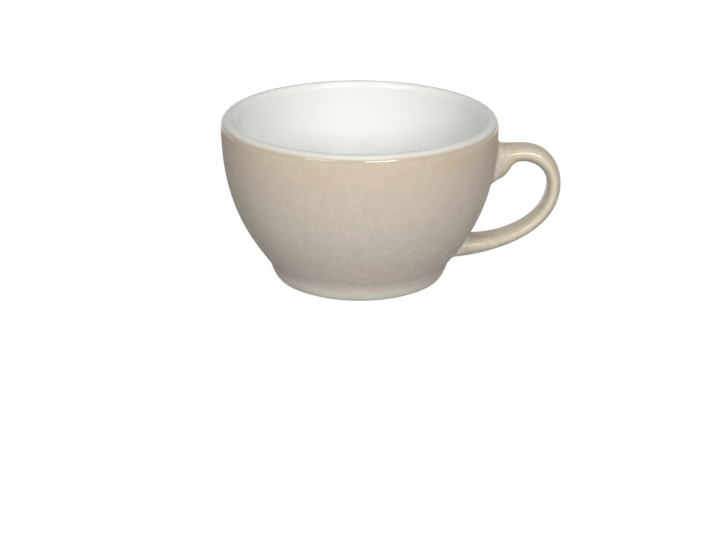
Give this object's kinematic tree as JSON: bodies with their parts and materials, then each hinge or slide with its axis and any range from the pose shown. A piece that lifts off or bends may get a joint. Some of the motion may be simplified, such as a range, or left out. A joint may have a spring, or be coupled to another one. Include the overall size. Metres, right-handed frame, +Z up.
{
  "type": "cappuccino cup",
  "caption": "Thick-walled porcelain cappuccino cup on a low foot, white glazed inside and beige glazed outside, with a flared loop handle luted to its side.",
  "frame": {"origin": "on the table under the middle of the cup's bounding box, between the rim's far side and the handle's outermost point; the bowl's axis is at x = -11 mm", "axes": "+X towards the handle, +Y across the cup, +Z up out of its mouth; the cup is its own mirror image in the X-Z plane"},
  "size_m": [0.117, 0.095, 0.0576],
  "materials": {
    "bisque": "unglazed, smooth and matt",
    "luting_slip": "unglazed, matt",
    "white_glaze": "glossy, slightly warm white",
    "beige_glaze": "glossy speckled beige, warmer under the rim and greyer towards the foot",
    "handle_glaze": "glossy warm beige"
  },
  "bodies": {
    "root": {"porcelain_bowl": "bisque", "handle": "bisque", "upper_slip_joint": "luting_slip", "lower_slip_joint": "luting_slip", "inner_glaze": "white_glaze", "outer_glaze": "beige_glaze", "handle_glaze": "handle_glaze", "foot_glaze": "white_glaze"}
  },
  "joints": []
}
